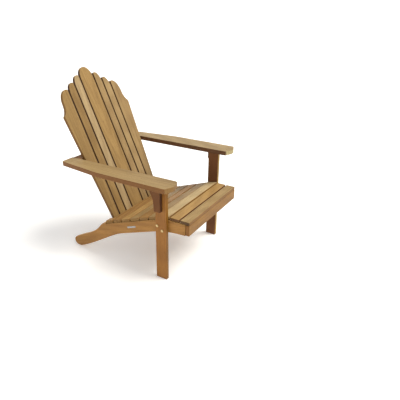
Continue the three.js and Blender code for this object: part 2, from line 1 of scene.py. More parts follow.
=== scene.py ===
"""Visual model of a teak garden armchair with a sloping slatted seat and a fanned, scalloped back.

Metres, +Z up, the sitter faces -Y and X = 0 is the plane of symmetry. Every visible piece takes its
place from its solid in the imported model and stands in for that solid. All but the leg bolts take
their shape from it too, with eased edges, and each piece has a timber or a metal finish.
"""

import json
import logging
import math
import random
from dataclasses import dataclass, field, replace
from enum import Enum

import bmesh
import bpy
from mathutils import Matrix, Vector

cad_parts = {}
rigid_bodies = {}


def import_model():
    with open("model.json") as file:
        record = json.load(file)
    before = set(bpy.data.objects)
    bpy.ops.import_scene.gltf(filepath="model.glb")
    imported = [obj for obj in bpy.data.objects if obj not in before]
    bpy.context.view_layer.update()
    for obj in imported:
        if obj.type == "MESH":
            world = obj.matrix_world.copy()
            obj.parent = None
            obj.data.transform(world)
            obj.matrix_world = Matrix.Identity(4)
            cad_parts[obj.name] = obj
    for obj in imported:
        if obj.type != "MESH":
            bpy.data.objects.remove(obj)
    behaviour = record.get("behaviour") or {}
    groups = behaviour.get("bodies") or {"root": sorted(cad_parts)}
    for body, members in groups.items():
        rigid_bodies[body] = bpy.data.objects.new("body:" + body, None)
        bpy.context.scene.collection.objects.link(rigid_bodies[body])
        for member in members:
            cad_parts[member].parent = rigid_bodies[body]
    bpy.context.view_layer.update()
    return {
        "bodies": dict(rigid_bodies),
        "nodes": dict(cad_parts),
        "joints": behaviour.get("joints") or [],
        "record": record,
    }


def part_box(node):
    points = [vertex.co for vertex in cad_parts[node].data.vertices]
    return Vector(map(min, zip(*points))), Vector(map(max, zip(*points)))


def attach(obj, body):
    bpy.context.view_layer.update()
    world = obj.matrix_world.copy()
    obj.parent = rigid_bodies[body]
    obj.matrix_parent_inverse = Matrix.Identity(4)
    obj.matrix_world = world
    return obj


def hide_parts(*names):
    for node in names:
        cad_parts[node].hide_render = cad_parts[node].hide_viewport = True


Rgb = tuple[float, float, float]
Box = tuple[Vector, Vector]

SIDES = ("right", "left")
BOLTS = (1, 2)            # the bolts of one leg
UP = Vector((0.0, 0.0, 1.0))
ACROSS = Vector((1.0, 0.0, 0.0))
REARWARD = Vector((0.0, 1.0, 0.0))
SNUG = 0.001              # how far a joint's box reaches past the neighbour's
WELD = 1e-5               # corners nearer than this are one
FLAT_ANGLE = math.radians(0.5)        # facets that turn by less are one face
SMOOTH_ANGLE = math.radians(40.0)     # edges that turn by more stay crisp
EASE_SEGMENTS = 3         # facets of an eased edge

log = logging.getLogger("chair")


# ------------------------------------------------------------------ small helpers
def linear(colour: Rgb) -> tuple[float, float, float, float]:
    """Turns a display colour into the linear one that a shader takes.

    Args:
        colour: Red, green and blue from 0 to 255, as on a screen.

    Returns:
        Linear red, green, blue and an alpha of one.
    """
    def channel(value: float) -> float:
        """One channel by the sRGB curve."""
        share = value / 255.0
        return share / 12.92 if share <= 0.04045 else ((share + 0.055) / 1.055) ** 2.4

    return channel(colour[0]), channel(colour[1]), channel(colour[2]), 1.0


def grown(box: Box, margin: float = SNUG) -> Box:
    """The same box, larger by a margin on every side."""
    reach = Vector((margin, margin, margin))
    return box[0] - reach, box[1] + reach


def inside(point: Vector, box: Box) -> bool:
    """Whether a point lies in a box."""
    return all(box[0][i] <= point[i] <= box[1][i] for i in range(3))


def outward(side: str) -> Vector:
    """The way out of the chair on one side."""
    return ACROSS * (-1.0 if side == "right" else 1.0)


def bolt_joints(side: str) -> list[Box]:
    """The boxes round one leg's bolts, whose holes stay sharp."""
    return [grown(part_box(f"leg_bolt_{side}_{number}")) for number in BOLTS]


# ------------------------------------------------------------------ node trees
class NodeBench:
    """A material's node tree, with short calls to add nodes and join them."""

    def __init__(self, name: str) -> None:
        """Starts an empty material with its surface shader and output.

        Args:
            name: The material's name.
        """
        self.material = bpy.data.materials.new(name)
        self.material.use_nodes = True
        self.tree = self.material.node_tree
        self.tree.nodes.clear()
        self.shader = self.tree.nodes.new("ShaderNodeBsdfPrincipled")
        output = self.tree.nodes.new("ShaderNodeOutputMaterial")
        self.join(self.shader.outputs["BSDF"], output.inputs["Surface"])

    def join(self, source: bpy.types.NodeSocket, target: bpy.types.NodeSocket) -> None:
        """Links an output socket to an input socket."""
        self.tree.links.new(source, target)

    def place(self, location: Vector, scale: Vector,
              source: bpy.types.NodeSocket) -> bpy.types.NodeSocket:
        """Moves and stretches coordinates.

        Args:
            location: What is added after the stretch.
            scale: The stretch along each axis.
            source: The coordinates.

        Returns:
            The new coordinates.
        """
        node = self.tree.nodes.new("ShaderNodeMapping")
        node.inputs["Location"].default_value = location
        node.inputs["Scale"].default_value = scale
        self.join(source, node.inputs["Vector"])
        return node.outputs["Vector"]

    def in_axes(self, source: bpy.types.NodeSocket, axes: Matrix) -> bpy.types.NodeSocket:
        """Turns the chair's coordinates into a piece's own.

        Args:
            source: The chair's coordinates.
            axes: Where the piece's axes lie in the chair.

        Returns:
            The piece's coordinates.
        """
        node = self.tree.nodes.new("ShaderNodeMapping")
        node.vector_type = "TEXTURE"
        node.inputs["Location"].default_value = axes.to_translation()
        node.inputs["Rotation"].default_value = axes.to_euler()
        self.join(source, node.inputs["Vector"])
        return node.outputs["Vector"]

    def noise(self, source: bpy.types.NodeSocket, detail: float,
              rough: float = 0.5) -> bpy.types.NodeSocket:
        """Cloudy noise, one cell to the unit of its coordinates.

        Args:
            source: The coordinates.
            detail: How many finer layers it has.
            rough: How strong the finer layers are.

        Returns:
            A value around 0.5.
        """
        node = self.tree.nodes.new("ShaderNodeTexNoise")
        node.inputs["Scale"].default_value = 1.0
        node.inputs["Detail"].default_value = detail
        node.inputs["Roughness"].default_value = rough
        self.join(source, node.inputs["Vector"])
        return node.outputs["Fac"]

    def math(self, kind: str, first: bpy.types.NodeSocket,
             second: object = None) -> bpy.types.NodeSocket:
        """One sum on values.

        Args:
            kind: The operation, in capitals.
            first: The first value's socket.
            second: The second value, a number or a socket.

        Returns:
            The result's socket.
        """
        node = self.tree.nodes.new("ShaderNodeMath")
        node.operation = kind
        self.join(first, node.inputs[0])
        if isinstance(second, (int, float)):
            node.inputs[1].default_value = second
        elif second is not None:
            self.join(second, node.inputs[1])
        return node.outputs["Value"]

    def span(self, value: bpy.types.NodeSocket, source: tuple[float, float],
             target: tuple[float, float] = (0.0, 1.0)) -> bpy.types.NodeSocket:
        """Maps one range of a value onto another, held at its ends.

        Args:
            value: The value's socket.
            source: The range it is read over.
            target: The range it is turned into.

        Returns:
            The mapped value's socket.
        """
        node = self.tree.nodes.new("ShaderNodeMapRange")
        node.interpolation_type = "SMOOTHSTEP"
        node.inputs["From Min"].default_value, node.inputs["From Max"].default_value = source
        node.inputs["To Min"].default_value, node.inputs["To Max"].default_value = target
        self.join(value, node.inputs["Value"])
        return node.outputs["Result"]

    def blend(self, share: bpy.types.NodeSocket, first: object,
              second: object) -> bpy.types.NodeSocket:
        """Mixes two colours.

        Args:
            share: How much of the second colour there is.
            first: The first colour, four numbers or a socket.
            second: The second colour, four numbers or a socket.

        Returns:
            The mixed colour's socket.
        """
        node = self.tree.nodes.new("ShaderNodeMix")
        node.data_type = "RGBA"
        self.join(share, node.inputs["Factor"])
        # A mix node has sockets of every type under the same names, so the colours go by type
        colour_inputs = [socket for socket in node.inputs if socket.type == "RGBA"]
        for colour, socket in zip((first, second), colour_inputs):
            if isinstance(colour, tuple):
                socket.default_value = colour
            else:
                self.join(colour, socket)
        return next(socket for socket in node.outputs if socket.type == "RGBA")


# ------------------------------------------------------------------ finishes
class Timber(Enum):
    """Teak boards differ from one another: these are the tints that the chair is made up from.

    Each value is the colour of a board's broad faces, as on a screen.
    """

    STRAW = (179, 157, 115)
    WHEAT = (158, 136, 99)
    HONEY = (156, 131, 89)
    GOLD = (165, 132, 81)
    OLIVE = (146, 120, 79)
    CARAMEL = (140, 112, 67)
    AMBER = (150, 114, 67)
    CINNAMON = (128, 91, 39)
    CHESTNUT = (151, 109, 55)
    UMBER = (144, 97, 42)
    # painted shadow: the brackets' tint, darkened for the arms' shadow on them
    PAINTED_SHADOW_BROWN = (97, 58, 18)


class PaintedShadeSide(Enum):
    """Which faces of a board get painted shade, as directions in the board's own axes."""

    NONE = ()
    GAPS = ((0.0, 1.0, 0.0), (0.0, -1.0, 0.0))
    LEFT = ((0.0, 1.0, 0.0),)
    RIGHT = ((0.0, -1.0, 0.0),)
    UNDER = ((0.0, 0.0, -1.0),)


# The grain's patterns: how many cells of each there are to the metre, along the board, across it
# and through it, and how strongly each one shows
WANDER_CELLS = Vector((1.1, 9.0, 9.0))
CLOUD_CELLS = Vector((0.9, 13.0, 13.0))
STREAK_CELLS = Vector((4.0, 240.0, 240.0))
PORE_CELLS = Vector((38.0, 950.0, 950.0))
RING_SHARE = 0.3
CLOUD_SHARE = 0.45
STREAK_SHARE = 0.5
PORE_SHARE = 0.6
STREAK_ROUGHNESS = 0.65
PITH_REACH = ((-3.0, 3.0), (-0.05, 0.05), (0.05, 0.11))      # where a tree's pith may lie
RING_STRETCH = Vector((0.035, 1.0, 1.0))                     # rings run nearly straight along
RING_WANDER = 12.0                                           # how far they wander, in radians
SHIFT_REACH = 40.0                                           # keeps boards' patterns apart
GROWTH_RISE = 0.4
STREAK_DIP = 0.8
RELIEF_STRENGTH = 0.35
RELIEF_HEIGHT = 0.0006


@dataclass(frozen=True)
class Tone:
    """A change of a timber's colour."""

    depth: float                           # brightness against it
    warmth: float = 1.0                    # below one takes out green and, twice as much, blue


@dataclass(frozen=True)
class TeakFinish:
    """Oiled teak: growth rings through the whole board, fine streaks, pores and darker end grain,
    with painted light and shade on its narrow faces.
    """

    timber: Timber
    seed: int
    depth: float = 1.0                     # brightness against the timber's own
    # the faces that get painted shade
    painted_shade_side: PaintedShadeSide = PaintedShadeSide.NONE
    painted_shade_colour: Rgb = (62, 28, 4)    # painted shade on long edges inside the gaps and on the arms' inner sides, and on undersides such as the legs' inner faces
    painted_edge_light_shade: Rgb = (114, 79, 34)   # painted light and shade on the long edges
    end_grain: Rgb = (127, 94, 45)
    ring_spacing: float = 0.0062
    early_wood: Tone = Tone(1.2)
    late_wood: Tone = Tone(0.74, 0.92)
    late_wood_on_edges: Tone = Tone(0.72, 0.94)
    streaks: Tone = Tone(0.5, 0.86)
    pores: Tone = Tone(0.3, 0.8)
    roughness: tuple[float, float] = (0.5, 0.68)       # plain wood, streaks
    gloss: float = 0.22
    edge_turn: tuple[float, float] = (0.45, 0.95)      # slant at which a face becomes an edge and takes the edges' painted light and shade
    end_turn: tuple[float, float] = (0.5, 0.95)        # the same for an end
    end_share: float = 0.9                             # of end grain on the ends
    facing_turn: tuple[float, float] = (0.4, 0.9)      # the same slant for a side with painted shade

    def material(self, name: str, axes: Matrix) -> bpy.types.Material:
        """Makes the board's material.

        Args:
            name: The board's name.
            axes: The board's own axes: X along the grain, Z out of its face, origin at its middle.

        Returns:
            The material.
        """
        bench = NodeBench(f"teak_{name}")
        coords = bench.tree.nodes.new("ShaderNodeTexCoord")
        normal = bench.in_axes(coords.outputs["Normal"], axes.to_3x3().to_4x4())
        grain = self.grain(bench, bench.in_axes(coords.outputs["Object"], axes))
        face = self.timber.value
        colour = bench.blend(
            grain["growth"], self.toned(face, self.early_wood), self.toned(face, self.late_wood))
        parts = bench.tree.nodes.new("ShaderNodeSeparateXYZ")
        bench.join(normal, parts.inputs["Vector"])
        # painted light and shade on the long edges, which differ from the broad face only in how
        # light falls
        edge = bench.span(bench.math("ABSOLUTE", parts.outputs["Y"]), self.edge_turn)
        colour = bench.blend(edge, colour, self.mottled(bench, grain, self.painted_edge_light_shade))
        # painted shade on the sides listed for the board
        for direction in self.painted_shade_side.value:
            colour = bench.blend(self.facing(bench, normal, direction), colour,
                                 self.mottled(bench, grain, self.painted_shade_colour))
        ends = bench.span(
            bench.math("ABSOLUTE", parts.outputs["X"]), self.end_turn, (0.0, self.end_share))
        colour = bench.blend(ends, colour, self.mottled(bench, grain, self.end_grain))
        colour = bench.blend(grain["streak"], colour, self.toned(face, self.streaks))
        colour = bench.blend(grain["pores"], colour, self.toned(face, self.pores))
        bench.join(colour, bench.shader.inputs["Base Color"])
        rough = bench.span(grain["streak"], (0.0, STREAK_SHARE), self.roughness)
        bench.join(rough, bench.shader.inputs["Roughness"])
        bench.shader.inputs["Specular IOR Level"].default_value = self.gloss
        self.relief(bench, grain)
        return bench.material

    def toned(self, colour: Rgb, tone: Tone) -> tuple[float, ...]:
        """A screen colour in linear terms, at this board's brightness.

        Args:
            colour: The colour on a screen.
            tone: How it is changed.

        Returns:
            Linear red, green, blue and alpha.
        """
        red, green, blue, alpha = linear(colour)
        share = self.depth * tone.depth
        return red * share, green * share * tone.warmth, blue * share * tone.warmth ** 2, alpha

    def mottled(self, bench: NodeBench, grain: dict[str, bpy.types.NodeSocket],
                colour: Rgb) -> bpy.types.NodeSocket:
        """A colour that follows the growth rings, for edges and ends.

        Args:
            bench: The material's nodes.
            grain: The values that grain() gives.
            colour: The colour on a screen.

        Returns:
            The mottled colour.
        """
        return bench.blend(grain["growth"], self.toned(colour, self.early_wood),
                           self.toned(colour, self.late_wood_on_edges))

    def grain(self, bench: NodeBench,
              coords: bpy.types.NodeSocket) -> dict[str, bpy.types.NodeSocket]:
        """Growth rings about a pith that runs beside the board, streaks and pores.

        Args:
            bench: The material's nodes.
            coords: The board's own coordinates, in metres.

        Returns:
            The growth, streak and pores values.
        """
        dice = random.Random(self.seed)
        pith = Vector([dice.uniform(*reach) for reach in PITH_REACH])
        shift = Vector([dice.uniform(0.0, SHIFT_REACH) for _ in range(3)])
        wander = bench.noise(bench.place(shift, WANDER_CELLS, coords), 2.0)
        from_pith = bench.tree.nodes.new("ShaderNodeVectorMath")
        from_pith.operation = "LENGTH"
        bench.join(bench.place(pith, RING_STRETCH, coords), from_pith.inputs[0])
        turns = bench.math("MULTIPLY", from_pith.outputs["Value"], math.tau / self.ring_spacing)
        drift = bench.math("MULTIPLY", wander, RING_WANDER)
        rings = bench.span(bench.math("SINE", bench.math("ADD", turns, drift)), (-0.9, 1.0))
        cloud = bench.noise(bench.place(shift * 2.0, CLOUD_CELLS, coords), 1.0)
        fine = bench.noise(bench.place(shift * 3.0, STREAK_CELLS, coords), 3.0, STREAK_ROUGHNESS)
        pore = bench.noise(bench.place(shift * 4.0, PORE_CELLS, coords), 1.0)
        ring_part = bench.math("MULTIPLY", rings, RING_SHARE)
        cloud_part = bench.math("MULTIPLY", bench.span(cloud, (0.3, 0.7)), CLOUD_SHARE)
        return {
            "growth": bench.math("ADD", ring_part, cloud_part),
            "streak": bench.math("MULTIPLY", bench.span(fine, (0.46, 0.74)), STREAK_SHARE),
            "pores": bench.math("MULTIPLY", bench.span(pore, (0.62, 0.72)), PORE_SHARE),
        }

    def facing(self, bench: NodeBench, normal: bpy.types.NodeSocket,
               direction: tuple[float, float, float]) -> bpy.types.NodeSocket:
        """How far a face looks a given way.

        Args:
            bench: The material's nodes.
            normal: The face's direction in the board's axes.
            direction: The way it is compared with.

        Returns:
            One on a face that looks that way, zero elsewhere.
        """
        product = bench.tree.nodes.new("ShaderNodeVectorMath")
        product.operation = "DOT_PRODUCT"
        bench.join(normal, product.inputs[0])
        product.inputs[1].default_value = direction
        return bench.span(product.outputs["Value"], self.facing_turn)

    def relief(self, bench: NodeBench, grain: dict[str, bpy.types.NodeSocket]) -> None:
        """Raises the grain a little.

        Args:
            bench: The material's nodes.
            grain: The values that grain() gives.
        """
        raised = bench.math("MULTIPLY", grain["growth"], GROWTH_RISE)
        sunk = bench.math("MULTIPLY", grain["streak"], -STREAK_DIP)
        height = bench.math("ADD", raised, sunk)
        bump = bench.tree.nodes.new("ShaderNodeBump")
        bump.inputs["Strength"].default_value = RELIEF_STRENGTH
        bump.inputs["Distance"].default_value = RELIEF_HEIGHT
        bench.join(height, bump.inputs["Height"])
        bench.join(bump.outputs["Normal"], bench.shader.inputs["Normal"])


class Metal(Enum):
    """Metals of the fixings: bright colour, tarnished colour."""

    BRASS = ((216, 196, 146), (140, 108, 60))
    STEEL = ((165, 163, 160), (130, 129, 128))


@dataclass(frozen=True)
class MetalFinish:
    """Turned or brushed metal with a light tarnish."""

    metal: Metal
    roughness: tuple[float, float] = (0.24, 0.42)
    brushing: tuple[float, float, float] = (300.0, 300.0, 300.0)     # marks to the metre
    tarnish_cells: Vector = field(default_factory=lambda: Vector((90.0, 90.0, 90.0)))

    def material(self, name: str, axes: Matrix) -> bpy.types.Material:
        """Makes the metal's material.

        Args:
            name: The piece's name.
            axes: The piece's own axes: X along the brushing.

        Returns:
            The material.
        """
        bench = NodeBench(f"{self.metal.name.lower()}_{name}")
        source = bench.tree.nodes.new("ShaderNodeTexCoord").outputs["Object"]
        coords = bench.in_axes(source, axes)
        bright, tarnished = (linear(colour) for colour in self.metal.value)
        cloud = bench.noise(bench.place(Vector(), self.tarnish_cells, coords), 3.0)
        marks = bench.noise(bench.place(Vector(), Vector(self.brushing), coords), 2.0)
        colour = bench.blend(bench.span(cloud, (0.4, 0.75)), bright, tarnished)
        bench.join(colour, bench.shader.inputs["Base Color"])
        bench.join(bench.span(marks, (0.3, 0.7), self.roughness), bench.shader.inputs["Roughness"])
        bench.shader.inputs["Metallic"].default_value = 1.0
        return bench.material


# ------------------------------------------------------------------ shaping
@dataclass
class Shaped:
    """A piece cut from its solid: the corners are eased and its axes follow its grain."""

    node: str
    along: Vector                          # roughly the way the grain runs
    ease: float                            # radius of the eased edges
    show: Vector = field(default_factory=lambda: UP.copy())   # the side the broad face is seen from
    joints: list[Box] = field(default_factory=list)           # edges in these boxes stay sharp

    def axes(self, mesh: bpy.types.Mesh) -> Matrix:
        """The piece's own axes: X along the grain, Z out of the broad face, origin at its middle.

        Args:
            mesh: The solid's mesh.

        Returns:
            The matrix that takes the piece's coordinates to the chair's.
        """
        areas: dict[tuple[float, ...], float] = {}
        for polygon in mesh.polygons:
            key = tuple(round(abs(part), 2) for part in polygon.normal)
            areas[key] = areas.get(key, 0.0) + polygon.area
        broad = max(areas, key=areas.get)
        face = next(polygon.normal.copy() for polygon in mesh.polygons
                    if tuple(round(abs(part), 2) for part in polygon.normal) == broad)
        if face.dot(self.show) < 0.0:
            face.negate()
        grain = (self.along - face * self.along.dot(face)).normalized()
        low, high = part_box(self.node)
        axes = Matrix((grain, face.cross(grain), face)).transposed().to_4x4()
        return Matrix.Translation((low + high) / 2.0) @ axes

    def eased(self, solid: bmesh.types.BMesh) -> None:
        """Rounds every sharp edge that isn't inside a joint.

        Args:
            solid: The piece, in the chair's coordinates.
        """
        bmesh.ops.remove_doubles(solid, verts=solid.verts, dist=WELD)
        bmesh.ops.dissolve_limit(
            solid, angle_limit=FLAT_ANGLE, verts=solid.verts, edges=solid.edges)
        sharp = [
            edge for edge in solid.edges
            if len(edge.link_faces) == 2
            and edge.calc_face_angle(0.0) > SMOOTH_ANGLE
            and not any(inside(edge.verts[0].co, box) and inside(edge.verts[1].co, box)
                        for box in self.joints)
        ]
        bmesh.ops.bevel(
            solid, geom=sharp, offset=self.ease, offset_type="OFFSET", segments=EASE_SEGMENTS,
            profile=0.5, affect="EDGES", clamp_overlap=True)

    def build(self, chair: "Chair", finish: "TeakFinish | MetalFinish") -> bpy.types.Object:
        """Makes the piece, dresses it and puts it in the solid's place.

        Args:
            chair: The chair it belongs to.
            finish: What it is made of.

        Returns:
            The piece.
        """
        source = chair.nodes[self.node].data
        axes = self.axes(source)
        solid = bmesh.new()
        solid.from_mesh(source)
        self.eased(solid)
        mesh = bpy.data.meshes.new(f"{self.node}_shape")
        solid.to_mesh(mesh)
        solid.free()
        return chair.fit(mesh, self.node, axes, finish)


class Chair:
    """The chair as a whole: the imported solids, and the pieces that stand in for them."""

    def __init__(self, frame: dict) -> None:
        """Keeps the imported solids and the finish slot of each.
        """
        self.nodes = frame["nodes"]
        self.slots = {part["node"]: part["material_slot"] for part in frame["record"]["subparts"]}

    def fit(self, mesh: bpy.types.Mesh, node: str, axes: Matrix,
            finish: "TeakFinish | MetalFinish",
            smooth_angle: float = SMOOTH_ANGLE) -> bpy.types.Object:
        """Puts a finished mesh where its solid is, in the solid's stead.

        Args:
            mesh: The mesh, in the chair's coordinates.
            node: The solid it stands for.
            axes: Where the piece's own axes lie, for its grain or brushing.
            finish: What it is made of.
            smooth_angle: Edges that turn by more than this stay crisp.

        Returns:
            The piece.
        """
        piece = self.dress(mesh, f"{node}_finished", axes, finish, smooth_angle)
        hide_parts(node)
        return piece

    def dress(self, mesh: bpy.types.Mesh, name: str, axes: Matrix,
              finish: "TeakFinish | MetalFinish",
              smooth_angle: float) -> bpy.types.Object:
        """Makes a piece from a mesh, with its finish, riding on the chair.

        Args:
            mesh: The mesh, in the chair's coordinates.
            name: The piece's name.
            axes: Where the piece's own axes lie, for its grain or brushing.
            finish: What it is made of.
            smooth_angle: Edges that turn by more than this stay crisp.

        Returns:
            The piece.
        """
        mesh.shade_smooth()
        mesh.set_sharp_from_angle(angle=smooth_angle)
        mesh.materials.append(finish.material(name, axes))
        piece = bpy.data.objects.new(name, mesh)
        bpy.context.scene.collection.objects.link(piece)
        even = piece.modifiers.new("even_shading", "WEIGHTED_NORMAL")
        even.keep_sharp = True
        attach(piece, "root")
        log.info("%s: %d faces", name, len(mesh.polygons))
        return piece


# ------------------------------------------------------------------ sub-assemblies
@dataclass
class SideRails:
    """The two curved rails that carry the seat and stand on the ground at the rear."""

    ease: float = 0.0025
    grain_fall: float = math.radians(19.7)             # the seat's own slope
    # painted light on the rails' narrow top and bottom faces
    edges: Rgb = (190, 152, 96)

    def build(self, chair: Chair) -> None:
        """Makes both rails.

        Args:
            chair: The chair they belong to.
        """
        grain = Vector((0.0, math.cos(self.grain_fall), -math.sin(self.grain_fall)))
        for seed, side in enumerate(SIDES, start=11):
            rail = Shaped(
                f"side_rail_{side}", grain, self.ease, outward(side), bolt_joints(side))
            rail.build(chair, TeakFinish(Timber.CHESTNUT, seed, painted_edge_light_shade=self.edges))


@dataclass
class FrontLegs:
    """The two straight front legs, tenoned into the arms."""

    ease: float = 0.003
    # painted shade on the legs' inner faces
    inner_face_painted_shade: Rgb = (101, 63, 33)
    narrow_faces_painted_light_shade: tuple[Rgb, Rgb] = ((119, 80, 22), (154, 125, 58))    # painted shade and painted light on the narrow faces: right leg, left leg

    def build(self, chair: Chair) -> None:
        """Makes both legs.

        Args:
            chair: The chair they belong to.
        """
        for seed, side, edges in zip((21, 22), SIDES, self.narrow_faces_painted_light_shade):
            joints = bolt_joints(side) + [grown(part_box(f"arm_{side}"), 2 * SNUG)]
            leg = Shaped(f"front_leg_{side}", UP, self.ease, outward(side), joints)
            # painted shade on each leg's inner face, painted light and shade on its narrow faces
            leg.build(chair, TeakFinish(
                Timber.UMBER, seed, painted_shade_side=PaintedShadeSide.UNDER, painted_shade_colour=self.inner_face_painted_shade,
                painted_edge_light_shade=edges))


@dataclass
class Seat:
    """The apron and the seat slats, from the front to the rear."""

    slat_ease: float = 0.0026
    apron_ease: float = 0.003
    front_edge_painted_shade: Rgb = (122, 84, 34)        # painted shade on the first slat's front face, level with the apron's face
    gap_edge_painted_shade: Rgb = (136, 99, 50)          # painted shade on the front edges of the slats behind a gap
    second_edge_painted_shade: Rgb = (94, 52, 14)        # the same painted shade, darker, on the second slat's front edge
    apron_end: Rgb = (123, 81, 35)
    shaded_ends: tuple[Rgb, ...] = ((64, 38, 16), (80, 47, 18))      # painted shade on the first slats' end grain
    boards: tuple[tuple[Timber, float], ...] = (
        (Timber.HONEY, 1.0), (Timber.GOLD, 1.0), (Timber.STRAW, 1.0), (Timber.OLIVE, 1.02),
        (Timber.AMBER, 1.0), (Timber.OLIVE, 0.93), (Timber.GOLD, 1.02), (Timber.AMBER, 1.0),
        (Timber.AMBER, 1.0),
    )

    def build(self, chair: Chair) -> None:
        """Makes the apron and every slat.

        Args:
            chair: The chair they belong to.
        """
        apron = Shaped("front_apron", ACROSS, self.apron_ease, -REARWARD)
        apron.build(chair, TeakFinish(Timber.CINNAMON, 31, end_grain=self.apron_end))
        for number, (timber, depth) in enumerate(self.boards, start=1):
            # With the grain across and the face up, a board's own left is the chair's rear
            # Each slat's front edge gets painted shade in its own colour, and its rear edge, in the
            # gap, the darker painted shade
            edge = {1: self.front_edge_painted_shade, 2: self.second_edge_painted_shade}.get(number, self.gap_edge_painted_shade)
            finish = TeakFinish(timber, 40 + number, depth, PaintedShadeSide.LEFT, painted_edge_light_shade=edge)
            if number <= len(self.shaded_ends):
                finish = replace(finish, end_grain=self.shaded_ends[number - 1])
            Shaped(f"seat_slat_{number}", ACROSS, self.slat_ease).build(chair, finish)


@dataclass
class Back:
    """The seven fanned back slats and the rail that their lower ends are fixed to."""

    slat_ease: float = 0.0022
    rail_ease: float = 0.002
    boards: tuple[tuple[Timber, float], ...] = (
        (Timber.CARAMEL, 0.94), (Timber.CARAMEL, 0.96), (Timber.WHEAT, 1.05),
        (Timber.CARAMEL, 1.06), (Timber.OLIVE, 0.95), (Timber.HONEY, 1.03), (Timber.OLIVE, 1.03),
    )

    def build(self, chair: Chair) -> None:
        """Makes every slat and the rail.

        Args:
            chair: The chair they belong to.
        """
        for number, (timber, depth) in enumerate(self.boards, start=1):
            slat = Shaped(f"back_slat_{number}", UP, self.slat_ease, -REARWARD)
            # painted shade on the slats' edges in the gaps between them
            slat.build(chair, TeakFinish(timber, 60 + number, depth, self.painted_shade_side(number)))
        rail = Shaped("lower_back_rail", ACROSS, self.rail_ease, REARWARD)
        rail.build(chair, TeakFinish(Timber.UMBER, 70))

    def painted_shade_side(self, number: int) -> PaintedShadeSide:
        """The outermost slats get painted shade on their inner edges only, the rest on both edges.

        Args:
            number: The slat's number, from the sitter's right.

        Returns:
            The slat's edges with painted shade.
        """
        # With the grain up and the face forward, a board's own left is the sitter's right
        if number == 1:
            return PaintedShadeSide.RIGHT
        return PaintedShadeSide.LEFT if number == len(self.boards) else PaintedShadeSide.GAPS


@dataclass
class Arms:
    """The two arms, the rail that ties them behind the back, and their brackets."""

    arm_ease: float = 0.0035
    rail_ease: float = 0.002
    bracket_ease: float = 0.0022
    # painted shade on the arms' inner sides
    inner_edge_painted_shade: Rgb = (90, 57, 33)
    # painted shade on the arms' outer sides
    outer_edge_painted_shade: Rgb = (115, 74, 32)
    front_ends_painted_light: tuple[Rgb, Rgb] = ((122, 89, 43), (166, 154, 112))   # painted light and shade on the arms' front end grain: right, left
    # painted shadow of the arm on the brackets' narrow faces
    bracket_edge_painted_shadow: Rgb = (69, 41, 20)
    boards: tuple[tuple[Timber, float], ...] = ((Timber.HONEY, 0.93), (Timber.WHEAT, 1.0))

    def build(self, chair: Chair) -> None:
        """Makes the arms, the rail and the brackets.

        Args:
            chair: The chair they belong to.
        """
        arm_boxes = [grown(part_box(f"arm_{side}")) for side in SIDES]
        rail = Shaped("arm_rail", ACROSS, self.rail_ease, joints=arm_boxes)
        rail.build(chair, TeakFinish(Timber.UMBER, 81))
        for number, side in enumerate(SIDES):
            joints = [grown(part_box(f"front_leg_{side}")), grown(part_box("arm_rail"))]
            arm = Shaped(f"arm_{side}", REARWARD, self.arm_ease, UP, joints)
            # With the grain to the rear and the face up, a board's own left is the sitter's right
            # painted shade on each arm's inner side
            inner = PaintedShadeSide.RIGHT if side == "right" else PaintedShadeSide.LEFT
            timber, depth = self.boards[number]
            arm.build(chair, TeakFinish(
                timber, 83 + number, depth, inner, self.inner_edge_painted_shade, self.outer_edge_painted_shade,
                self.front_ends_painted_light[number]))
            bracket = Shaped(
                f"arm_bracket_{side}", UP, self.bracket_ease, outward(side), [arm_boxes[number]])
            # the bracket's dark tint and narrow faces are painted shadow from the arm above
            bracket.build(chair, TeakFinish(
                Timber.PAINTED_SHADOW_BROWN, 91 + number, painted_edge_light_shade=self.bracket_edge_painted_shadow))


